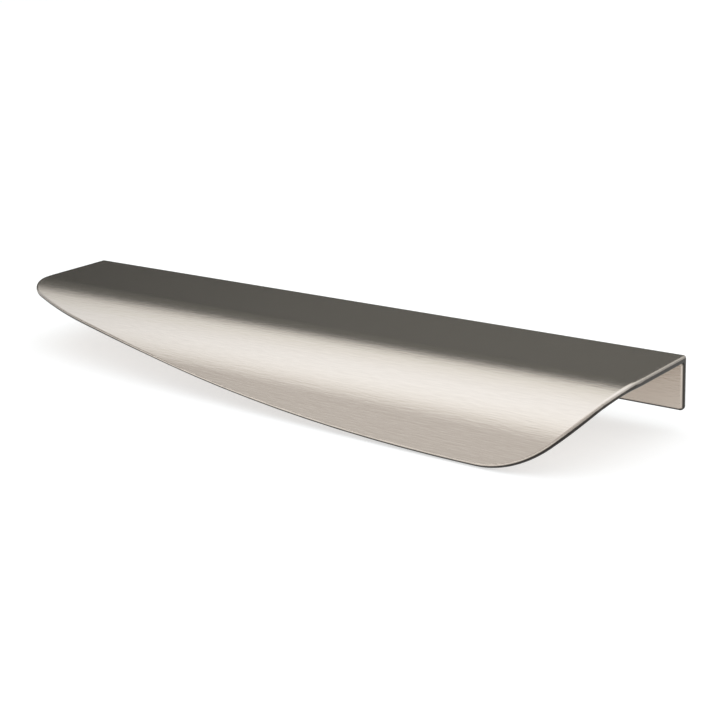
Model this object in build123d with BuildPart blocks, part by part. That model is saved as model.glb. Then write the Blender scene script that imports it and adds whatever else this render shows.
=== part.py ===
from build123d import *
import os
from math import cos, radians, sin

# An edge pull for a cabinet door or drawer front: one plate with a fixing
# flange at the back, a flat top that caps the edge of the front, and a finger
# lip that rolls over and down. All sizes are in millimetres. X runs along the
# pull, -Y faces the user and Z points up. The origin is midway between the two
# screws, on the face of the flange that is pressed against the front.

# The section
pull_length = 200.0
plate_thickness = 1.8
flange_height = 13.5
top_depth = 24.0
roll_radius = 21.5
lip_angle = 60.0
outer_corner_radius = 0.7
inner_corner_radius = 0.5

# The outline of the lip, drawn on a plane that leans forward by outline_lean. It
# leaves the left end square, turns a small corner and a long shoulder, bows
# gently outwards, and comes back by a nose, a straight rise and a heel to the
# right end. Slopes are measured from X.
outline_lean = 30.0
left_end_straight = 18.0
left_corner_radius = 12.6
left_corner_slope = -21.2
shoulder_radius = 133.0
shoulder_slope = -11.0
bow_slope = 0.3
nose_radius = 27.5
nose_slope = 67.0
rise_length = 2.3
heel_radius = 32.9

# Edges and screw holes
edge_round = 0.7
flange_corner_radius = 1.0
screw_spacing = 160.0
screw_drop = 7.8
screw_hole_diameter = 3.8
countersink_diameter = 6.2
countersink_angle = 90.0

square_angle = 90.0
half_length = pull_length / 2
sheet_reach = 3 * roll_radius
lean = radians(outline_lean)
back_y = plate_thickness
top_z = screw_drop
flange_middle_z = top_z - flange_height / 2

# The outline is cut square to a leaning plane through the top back edge. Its
# local x is the length of the pull, and its local y climbs back to the flange.
outline_plane = Plane(
    origin=(0, back_y, top_z), x_dir=(1, 0, 0), z_dir=(0, -sin(lean), cos(lean))
)

# The bow takes up the length that the corners leave it, so its radius follows.
corner_sine = sin(radians(left_corner_slope))
shoulder_sine = sin(radians(shoulder_slope))
bow_sine = sin(radians(bow_slope))
nose_sine = sin(radians(nose_slope))
left_reach = left_corner_radius * (1 + corner_sine) + shoulder_radius * (shoulder_sine - corner_sine)
right_reach = (
    nose_radius * (nose_sine - bow_sine)
    + rise_length * cos(radians(nose_slope))
    + heel_radius * (1 - nose_sine)
)
bow_radius = (pull_length - left_reach - right_reach) / (bow_sine - shoulder_sine)

with BuildPart() as outline_prism:
    with BuildSketch(outline_plane):
        with BuildLine():
            left_end = Line((-half_length, 0), (-half_length, -left_end_straight))
            left_corner = JernArc(
                left_end @ 1, left_end % 1, left_corner_radius, square_angle + left_corner_slope
            )
            shoulder = JernArc(
                left_corner @ 1, left_corner % 1, shoulder_radius, shoulder_slope - left_corner_slope
            )
            bow = JernArc(shoulder @ 1, shoulder % 1, bow_radius, bow_slope - shoulder_slope)
            nose = JernArc(bow @ 1, bow % 1, nose_radius, nose_slope - bow_slope)
            rise = Line(nose @ 1, nose @ 1 + (nose % 1) * rise_length)
            heel = JernArc(rise @ 1, rise % 1, heel_radius, square_angle - nose_slope)
            Polyline(heel @ 1, (half_length, 0), left_end @ 0)
        make_face()
    extrude(amount=sheet_reach, both=True)

# The outer surface is a sheet bent along X: the flat top, the roll and the
# straight lip, each trimmed by the outline.
section_plane = Plane(
    origin=(-half_length, back_y, top_z), x_dir=(0, 1, 0), z_dir=(1, 0, 0)
)
with BuildLine(section_plane) as section:
    top_line = Line((0, 0), (-top_depth, 0))
    roll = JernArc(top_line @ 1, top_line % 1, roll_radius, lip_angle)
    Line(roll @ 1, roll @ 1 + (roll % 1) * sheet_reach)

outer_faces = [
    Face.extrude(edge, (pull_length, 0, 0)).intersect(outline_prism.part)[0]
    for edge in section.edges()
]

with BuildPart() as edge_pull:
    # The plate lies inside its outer surface, so its cut edge stays square to
    # the surface all the way round the roll.
    for face in outer_faces:
        thicken(face, amount=plate_thickness, normal_override=(0, 0, -1))

    # The flange hangs from the back edge of the top, with small lower corners.
    with BuildSketch(Plane.XZ.offset(-back_y)):
        with Locations((0, flange_middle_z)):
            Rectangle(pull_length, flange_height)
    extrude(amount=plate_thickness)
    across_flange = edge_pull.edges().filter_by(Axis.Y)
    fillet(across_flange.group_by(Axis.Z)[0], radius=flange_corner_radius)

    # The fold between top and flange is sharp outside and nearly so inside.
    along_fold = edge_pull.edges().filter_by(Axis.X)
    fillet(along_fold.group_by(Axis.Z)[-1].sort_by(Axis.Y)[-1], radius=outer_corner_radius)
    fillet(
        edge_pull.edges().filter_by(Axis.X).filter_by_position(
            Axis.Y, -inner_corner_radius, inner_corner_radius
        ).sort_by(Axis.Z)[-1],
        radius=inner_corner_radius,
    )

    # Every cut edge is rounded over. The lower edges of the flange start two
    # tangent chains, one outside and one inside, that run right round the plate.
    along_flange = edge_pull.edges().filter_by(Axis.X).sort_by(Axis.Z)
    fillet(along_flange[0:2], radius=edge_round)

    # Two countersunk screw holes, entered from the back of the flange.
    with Locations(Plane(origin=(0, back_y, 0), x_dir=(1, 0, 0), z_dir=(0, 1, 0))):
        with GridLocations(screw_spacing, 0, 2, 1):
            CounterSinkHole(
                radius=screw_hole_diameter / 2,
                counter_sink_radius=countersink_diameter / 2,
                depth=plate_thickness,
                counter_sink_angle=countersink_angle,
            )

os.makedirs("parts", exist_ok=True)
edge_pull.part.label = "edge_pull"
export_step(edge_pull.part, "parts/edge_pull.step")
print("solids", len(edge_pull.solids()), "volume", edge_pull.part.volume)
print(edge_pull.part.bounding_box())
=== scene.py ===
import bpy
from math import cos, pi, radians, sin
from mathutils import Matrix, Vector


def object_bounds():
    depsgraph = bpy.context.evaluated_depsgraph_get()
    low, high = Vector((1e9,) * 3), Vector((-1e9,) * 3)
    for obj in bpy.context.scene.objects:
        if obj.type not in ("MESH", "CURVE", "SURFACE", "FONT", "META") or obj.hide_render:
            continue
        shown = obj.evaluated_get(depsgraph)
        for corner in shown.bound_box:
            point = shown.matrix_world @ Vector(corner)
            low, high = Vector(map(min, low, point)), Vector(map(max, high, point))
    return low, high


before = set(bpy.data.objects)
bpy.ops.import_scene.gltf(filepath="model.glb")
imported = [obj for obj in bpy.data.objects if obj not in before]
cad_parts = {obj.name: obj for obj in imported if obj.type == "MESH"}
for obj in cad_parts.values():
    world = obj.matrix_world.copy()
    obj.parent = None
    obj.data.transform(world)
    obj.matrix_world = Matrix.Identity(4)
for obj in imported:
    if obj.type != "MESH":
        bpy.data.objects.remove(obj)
cad_low, cad_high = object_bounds()
scene = bpy.context.scene
scene.view_settings.view_transform = "Standard"


# The edge pull: one aluminium plate, cut to its outline, folded for the flange,
# rolled for the lip and brushed along its length in a warm stainless steel shade.
# Screws through the flange hold it to the back of a door or drawer front.
edge_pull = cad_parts["edge_pull"]

# The abrasive belt leaves long faint strokes and many short scratches.
metal_shade = (0.706, 0.625, 0.548)
metal_shade_light = (0.74, 0.659, 0.582)
stroke_length = 0.04
stroke_width = 0.0004
stroke_detail = 1.0
scratch_length = 0.0035
scratch_width = 0.0003
scratch_detail = 2.0
scratch_share = 0.72
grain_contrast = (0.35, 0.65)
grain_depth = 0.00004
smooth_roughness = 0.23
rough_roughness = 0.246
gloss_stretch = 0.45

# The section is the solid's own, in metres: a flat top, a roll and a straight lip.
# The cut edge begins and ends at these shares of the plate's thickness.
plate_thickness = 0.0018
top_depth = 0.024
roll_radius = 0.0215
lip_angle = radians(60)
edge_begins = (0.02, 0.15)
edge_ends = (0.995, 0.98)

# On the flange the edge and the inner side are told by the way a face points: by
# the size of its normal's X, by its Z and by its Y.
side_facing = (0.4, 0.8)
down_facing = (-0.05, -0.35)
front_facing = (-0.3, -0.7)
seat_tolerance = 0.00001

# The cut edge is rougher than the brushed sides. Shade is painted on it where it faces
# down, and more on the two sawn ends. The list below pairs how far a face points up,
# from -1 to 1, with its painted shade. The inner side gets painted shade as well, a little darker
# than the outer one.
edge_roughness = 0.36
edge_painted_shades = [(-0.35, 0.04), (-0.05, 0.09), (0.06, 0.5), (0.4, 0.72), (0.65, 1.0)]
end_painted_shade = 0.2
end_depth = 0.0007
inner_painted_shade = 0.83


def node(tree, kind, **inputs):
    """Adds a shader node and sets its inputs by their names."""
    made = tree.nodes.new(kind)
    for name, value in inputs.items():
        made.inputs[name.replace("_", " ")].default_value = value
    return made


def feed(tree, socket, term):
    """Sets a socket to a number, or links another node's output to it."""
    if isinstance(term, float):
        socket.default_value = term
    else:
        tree.links.new(term, socket)


def worked_out(tree, operation, *terms):
    """One step of arithmetic on numbers and other nodes' outputs."""
    made = tree.nodes.new("ShaderNodeMath")
    made.operation = operation
    for socket, term in zip(made.inputs, terms):
        feed(tree, socket, term)
    return made.outputs[0]


def ramped(tree, value, span):
    """0 at the start of the span, 1 at its end, and straight between them."""
    made = node(tree, "ShaderNodeMapRange", From_Min=span[0], From_Max=span[1])
    tree.links.new(value, made.inputs["Value"])
    return made.outputs["Result"]


def mixed(tree, share, first, second):
    """The first value where the share is 0, and the second where it is 1."""
    made = tree.nodes.new("ShaderNodeMix")
    for name, term in (("Factor", share), ("A", first), ("B", second)):
        feed(tree, made.inputs[name], term)
    return made.outputs["Result"]


def coloured(tree, value, stops):
    """The colour at a value from 0 to 1, from stops of a place and a colour."""
    made = tree.nodes.new("ShaderNodeValToRGB")
    elements = made.color_ramp.elements
    for count, (position, colour) in enumerate(stops):
        stop = elements[count] if count < len(elements) else elements.new(1.0)
        stop.position = position
        stop.color = (*colour, 1)
    tree.links.new(value, made.inputs["Fac"])
    return made.outputs["Color"]


def split_up(tree, vector):
    """The X, Y and Z of a vector."""
    made = tree.nodes.new("ShaderNodeSeparateXYZ")
    tree.links.new(vector, made.inputs["Vector"])
    return made.outputs


def belt_marks(tree, place, length, width, detail):
    """Noise drawn out along X, as an abrasive belt leaves it."""
    mapping = node(tree, "ShaderNodeMapping", Scale=(1 / length, 1 / width, 1 / width))
    noise = node(tree, "ShaderNodeTexNoise", Scale=1.0, Detail=detail)
    tree.links.new(place.outputs["Object"], mapping.inputs["Vector"])
    tree.links.new(mapping.outputs["Vector"], noise.inputs["Vector"])
    return noise.outputs["Fac"]


brushed_metal = bpy.data.materials.new("brushed_metal")
brushed_metal.use_nodes = True
metal = brushed_metal.node_tree
metal_shader = metal.nodes["Principled BSDF"]
metal_shader.inputs["Metallic"].default_value = 1.0
metal_shader.inputs["Anisotropic"].default_value = gloss_stretch

on_metal = node(metal, "ShaderNodeTexCoord")
along, back, up = split_up(metal, on_metal.outputs["Object"])
facing_right, facing_back, facing_up = split_up(metal, on_metal.outputs["Normal"])

# The grain
strokes = belt_marks(metal, on_metal, stroke_length, stroke_width, stroke_detail)
scratches = belt_marks(metal, on_metal, scratch_length, scratch_width, scratch_detail)
grain = mixed(metal, scratch_share, strokes, scratches)
clear_grain = ramped(metal, grain, grain_contrast)

# The depth of a point below the outer side, all round the section
roll_y = cad_high.y - top_depth
roll_z = cad_high.z - roll_radius
before_roll = worked_out(metal, "SUBTRACT", roll_y, back)
above_roll = worked_out(metal, "SUBTRACT", up, roll_z)
bend = worked_out(metal, "ARCTAN2", before_roll, above_roll)
bend = worked_out(metal, "MAXIMUM", bend, 0.0)
bend = worked_out(metal, "MINIMUM", bend, lip_angle)
bend_sine = worked_out(metal, "SINE", bend)
bend_cosine = worked_out(metal, "COSINE", bend)
rise = worked_out(metal, "MULTIPLY", above_roll, bend_cosine)
reach = worked_out(metal, "MULTIPLY_ADD", before_roll, bend_sine, rise)
depth = worked_out(metal, "SUBTRACT", roll_radius, reach)
depth_share = worked_out(metal, "DIVIDE", depth, plate_thickness)

# The cut edge of the top, roll and lip, and that of the flange
on_flange = worked_out(metal, "GREATER_THAN", back, -seat_tolerance)
off_flange = worked_out(metal, "SUBTRACT", 1.0, on_flange)
below_skin = ramped(metal, depth_share, edge_begins)
above_back = ramped(metal, depth_share, edge_ends)
plate_edge = worked_out(metal, "MULTIPLY", below_skin, above_back)
to_side = ramped(metal, worked_out(metal, "ABSOLUTE", facing_right), side_facing)
downwards = ramped(metal, facing_up, down_facing)
outwards = worked_out(metal, "MAXIMUM", to_side, downwards)
flange_edge = worked_out(metal, "MULTIPLY", on_flange, outwards)
cut_edge = worked_out(metal, "MULTIPLY_ADD", plate_edge, off_flange, flange_edge)

# The painted shade of the cut edge and of the inner side
from_middle = worked_out(metal, "ABSOLUTE", along)
on_end = ramped(metal, from_middle, (cad_high.x - end_depth, cad_high.x - end_depth / 2))
turned_up = worked_out(metal, "MULTIPLY_ADD", on_end, -end_painted_shade, facing_up)
# Painted shade: the cut edge gets darker the further it faces down
painted_edge_shade = coloured(
    metal,
    ramped(metal, turned_up, (-1, 1)),
    [((1 + points_up) / 2, (tone, tone, tone)) for points_up, tone in edge_painted_shades],
)
forwards = ramped(metal, facing_back, front_facing)
inner_flange = worked_out(metal, "MULTIPLY", forwards, on_flange)
behind_plate = worked_out(metal, "SUBTRACT", 1.0, above_back)
inner_side = worked_out(metal, "MULTIPLY_ADD", behind_plate, off_flange, inner_flange)
# Painted shade on the inner side, which is made darker than the outer one
side_painted_shade = mixed(metal, inner_side, 1.0, inner_painted_shade)

shade = metal.nodes.new("ShaderNodeMix")
shade.data_type = "RGBA"
shade.inputs["A"].default_value = (*metal_shade, 1)
shade.inputs["B"].default_value = (*metal_shade_light, 1)
metal.links.new(clear_grain, shade.inputs["Factor"])
toned = node(metal, "ShaderNodeVectorMath")
toned.operation = "SCALE"
metal.links.new(shade.outputs["Result"], toned.inputs[0])
# The painted shade of the cut edge and of the inner side scales the base colour
metal.links.new(mixed(metal, cut_edge, side_painted_shade, painted_edge_shade), toned.inputs["Scale"])
metal.links.new(toned.outputs["Vector"], metal_shader.inputs["Base Color"])

side_roughness = mixed(metal, clear_grain, smooth_roughness, rough_roughness)
roughness = mixed(metal, cut_edge, side_roughness, edge_roughness)
metal.links.new(roughness, metal_shader.inputs["Roughness"])

grooves = node(metal, "ShaderNodeBump", Distance=grain_depth)
metal.links.new(grain, grooves.inputs["Height"])
metal.links.new(grooves.outputs["Normal"], metal_shader.inputs["Normal"])

across_grain = metal.nodes.new("ShaderNodeTangent")
across_grain.direction_type = "RADIAL"
across_grain.axis = "X"
metal.links.new(across_grain.outputs["Tangent"], metal_shader.inputs["Tangent"])

for slot in edge_pull.material_slots:
    slot.material = brushed_metal


# The floor: a pale board under the pull. It takes the pull's soft shadow, and it
# shows as white to the camera and in what the metal mirrors.
floor_size = 4.0
floor_shade = (0.56, 0.55, 0.535)
floor_glow = 0.6
floor_z = cad_low.z


def seen_directly(tree):
    """1 for rays that show a thing to the eye: camera, glossy and transmission."""
    path = tree.nodes.new("ShaderNodeLightPath")
    seen = path.outputs["Is Camera Ray"]
    for ray in ("Is Glossy Ray", "Is Transmission Ray"):
        seen = worked_out(tree, "MAXIMUM", seen, path.outputs[ray])
    return seen


half_floor = floor_size / 2
floor_mesh = bpy.data.meshes.new("floor")
floor_mesh.from_pydata(
    [(x * half_floor, y * half_floor, floor_z) for x, y in ((-1, -1), (1, -1), (1, 1), (-1, 1))],
    [],
    [(0, 1, 2, 3)],
)
floor = bpy.data.objects.new("floor", floor_mesh)
scene.collection.objects.link(floor)

pale_board = bpy.data.materials.new("pale_board")
pale_board.use_nodes = True
board = pale_board.node_tree
board_shader = board.nodes["Principled BSDF"]
board_shader.inputs["Base Color"].default_value = (*floor_shade, 1)
board_shader.inputs["Roughness"].default_value = 1.0
board_shader.inputs["Specular IOR Level"].default_value = 0.0
board_shader.inputs["Emission Color"].default_value = (1, 1, 1, 1)
glow = worked_out(board, "MULTIPLY", seen_directly(board), floor_glow)
board.links.new(glow, board_shader.inputs["Emission Strength"])
floor_mesh.materials.append(pale_board)


# The light tent: a long half round tent over the pull, closed at its ends. Dark
# cloth behind it shows in the flat top, a bright roof in the roll, and a softer
# front in the lip. The dark cloth hangs askew, and the left of the tent is dimmer.
tent_radius = 3.0
tent_half_length = 6.0
tent_segments = 72

# The cloth's colours, by degrees from straight behind, over the top, to the front
half_circle = 180
tent_cloth = [
    (0, (0.03, 0.031, 0.03)),
    (14, (0.056, 0.058, 0.056)),
    (24, (0.122, 0.127, 0.12)),
    (32, (0.13, 0.135, 0.127)),
    (40, (0.055, 0.057, 0.054)),
    (49, (0.02, 0.021, 0.02)),
    (57, (0.89, 0.92, 0.905)),
    (67, (1.0, 1.045, 1.06)),
    (95, (1.17, 1.25, 1.34)),
    (113, (1.22, 1.3, 1.38)),
    (128, (1.08, 1.12, 1.14)),
    (140, (0.66, 0.66, 0.66)),
    (180, (0.5, 0.5, 0.5)),
]
brightest_cloth = 1.4

# The camera sees the tent near mirrored_x in the metal. The cloth's skew, which
# fades towards the front, and its gain in brightness grow with X from there.
mirrored_x = -2.6
skew_per_metre = 9.0
gain_per_metre = 0.2
least_gain = 0.5
most_gain = 1.04

angles = [pi * i / tent_segments for i in range(tent_segments + 1)]
rims = [
    (x, tent_radius * cos(angle), floor_z + tent_radius * sin(angle))
    for angle in angles
    for x in (-tent_half_length, tent_half_length)
]
left_end = list(range(0, len(rims), 2))
right_end = list(range(1, len(rims), 2))
strips = [(2 * i, 2 * i + 1, 2 * i + 3, 2 * i + 2) for i in range(tent_segments)]
tent_mesh = bpy.data.meshes.new("light_tent")
tent_mesh.from_pydata(rims, [], strips + [left_end, right_end])
light_tent = bpy.data.objects.new("light_tent", tent_mesh)
light_tent.visible_camera = False
scene.collection.objects.link(light_tent)

lit_cloth = bpy.data.materials.new("lit_cloth")
lit_cloth.use_nodes = True
cloth = lit_cloth.node_tree
cloth.nodes.remove(cloth.nodes["Principled BSDF"])
cloth_light = node(cloth, "ShaderNodeEmission")
on_cloth = node(cloth, "ShaderNodeTexCoord")
cloth_x, cloth_y, cloth_z = split_up(cloth, on_cloth.outputs["Object"])
from_mirrored = worked_out(cloth, "SUBTRACT", cloth_x, mirrored_x)
turn = worked_out(cloth, "ARCTAN2", cloth_z, cloth_y)
turn_share = worked_out(cloth, "DIVIDE", turn, pi)
fading = worked_out(cloth, "SUBTRACT", 1.0, turn_share)
skew = worked_out(cloth, "MULTIPLY", from_mirrored, skew_per_metre / half_circle)
skewed_share = worked_out(cloth, "MULTIPLY_ADD", skew, fading, turn_share)
cloth_colour = coloured(
    cloth,
    skewed_share,
    [
        (degrees / half_circle, [part / brightest_cloth for part in colour])
        for degrees, colour in tent_cloth
    ],
)
cloth.links.new(cloth_colour, cloth_light.inputs["Color"])
gain = worked_out(cloth, "MULTIPLY_ADD", from_mirrored, gain_per_metre, 1.0)
gain = worked_out(cloth, "MAXIMUM", gain, least_gain)
gain = worked_out(cloth, "MINIMUM", gain, most_gain)
strength = worked_out(cloth, "MULTIPLY", gain, brightest_cloth)
cloth.links.new(strength, cloth_light.inputs["Strength"])
cloth.links.new(cloth_light.outputs["Emission"], cloth.nodes["Material Output"].inputs["Surface"])
tent_mesh.materials.append(lit_cloth)


# The room: plain white all round, beyond the floor and the tent. It shows as full
# white, and as a light it is a little less bright.
room_light = 0.8

room = bpy.data.worlds.new("room")
scene.world = room
room.use_nodes = True
air = room.node_tree
air_light = air.nodes["Background"]
air_light.inputs["Color"].default_value = (1, 1, 1, 1)
air_level = mixed(air, seen_directly(air), room_light, 1.0)
air.links.new(air_level, air_light.inputs["Strength"])


# The camera: it stands in front of the pull's right end, looks down on it and is
# turned a little about its own axis. The middle of the top back edge lands on
# edge_pixel, edge_depth away along the view.
image_size = 724
focal_pixels = 1528.9
edge_pixel = (353.20, 300.26)
edge_depth = 0.41658
view_azimuth = radians(39.343)
view_pitch = radians(17.275)
view_roll = radians(-2.714)
sensor_width = 36.0

forward = Vector((
    -sin(view_azimuth) * cos(view_pitch),
    cos(view_azimuth) * cos(view_pitch),
    -sin(view_pitch),
))
level_right = Vector((cos(view_azimuth), sin(view_azimuth), 0))
level_up = level_right.cross(forward)
image_right = level_right * cos(view_roll) + level_up * sin(view_roll)
image_up = level_up * cos(view_roll) - level_right * sin(view_roll)

camera_data = bpy.data.cameras.new("camera")
camera_data.sensor_width = sensor_width
camera_data.lens = focal_pixels / image_size * sensor_width
camera = bpy.data.objects.new("camera", camera_data)
scene.collection.objects.link(camera)
top_back_edge = Vector((0, cad_high.y, cad_high.z))
across = (edge_pixel[0] - image_size / 2) / focal_pixels
down = (edge_pixel[1] - image_size / 2) / focal_pixels
eye = top_back_edge - edge_depth * (forward + across * image_right - down * image_up)
turned = Matrix((image_right, image_up, -forward)).transposed()
camera.matrix_world = Matrix.Translation(eye) @ turned.to_4x4()
scene.camera = camera
